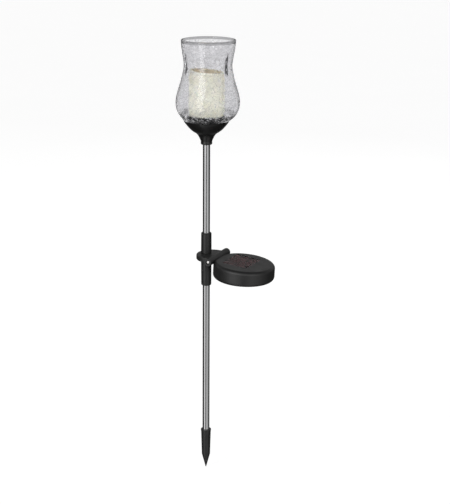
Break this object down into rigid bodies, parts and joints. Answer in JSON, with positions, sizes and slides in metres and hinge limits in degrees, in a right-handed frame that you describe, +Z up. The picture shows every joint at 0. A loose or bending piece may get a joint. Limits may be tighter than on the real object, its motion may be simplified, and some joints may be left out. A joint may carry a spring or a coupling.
{
  "type": "solar stake light",
  "caption": "Garden stake light shaped like a torch: crackle-glass tulip shade over an LED candle on a pole, with a swivelling, tilting round solar panel.",
  "frame": {"origin": "on the pole's axis at ground level, in the plane of the underside of the spike's lip, which rests on the soil", "axes": "+Z up the pole to the shade's mouth; +X from the pole to the solar panel; +Y along the barrel of the panel's hinge, away from its screw head"},
  "size_m": [0.1829, 0.1096, 0.7891],
  "materials": {
    "spike_black": "moulded, satin black",
    "pole_steel": "polished stainless tube",
    "sleeve_black": "moulded, satin black",
    "washer_steel": "plain",
    "cup_black": "moulded, semi-gloss black",
    "crackle_glass": "clear glass with fine crackle through its wall",
    "silicone": "translucent grey silicone",
    "base_black": "matt black",
    "screw_steel": "zinc plated",
    "screw_black": "black oxide",
    "screw_bright": "bright nickel plated",
    "candle_wax": "ivory wax, slightly see-through",
    "board_green": "solder mask",
    "board_parts": "moulded components",
    "led_epoxy": "warm clear epoxy",
    "lead_black": "black PVC",
    "collar_black": "moulded, satin black",
    "panel_black": "moulded, fine spark texture",
    "cell_film": "dark red-brown striped thin film",
    "cell_resin": "clear resin",
    "battery_wrap": "printed sleeve, plain green",
    "contact_nickel": "nickel plated",
    "switch_black": "moulded",
    "knob_black": "moulded, ribbed"
  },
  "bodies": {
    "stake": {"ground_spike": "spike_black", "lower_pole": "pole_steel", "lower_sleeve": "sleeve_black", "upper_sleeve": "sleeve_black", "swivel_washer": "washer_steel", "upper_pole": "pole_steel", "lamp_cup": "cup_black", "glass_shade": "crackle_glass", "glass_seal": "silicone", "candle_base": "base_black", "base_screws": "screw_steel", "candle_shell": "candle_wax", "led_board": "board_green", "candle_led": "led_epoxy", "pole_lead": "lead_black"},
    "collar": {"swivel_collar": "collar_black", "collar_lead": "lead_black"},
    "panel": {"panel_housing": "panel_black", "panel_base": "panel_black", "case_gasket": "silicone", "case_screws": "screw_black", "solar_cell": "cell_film", "cell_cover": "cell_resin", "circuit_board": "board_green", "board_parts": "board_parts", "battery": "battery_wrap", "battery_spring": "contact_nickel", "battery_contact": "contact_nickel", "battery_door": "panel_black", "door_screws": "screw_black", "switch_body": "switch_black", "hinge_screw": "screw_bright", "hinge_nut": "screw_steel", "hinge_plug": "panel_black", "friction_washer": "washer_steel", "panel_lead": "lead_black"},
    "switch": {"switch_knob": "knob_black"}
  },
  "joints": [
    {"name": "swivel", "type": "hinge", "parent": "stake", "child": "collar", "pos_m": [0, 0, 0.3366], "axis": [0, 0, 1], "range_deg": [-165, 165]},
    {"name": "tilt", "type": "hinge", "parent": "collar", "child": "panel", "pos_m": [0.022, 0, 0.3367], "axis": [0, -1, 0], "range_deg": [-20, 88]},
    {"name": "switch_slide", "type": "slide", "parent": "panel", "child": "switch", "axis": [0, 1, 0], "range_m": [0, 0.004]}
  ]
}
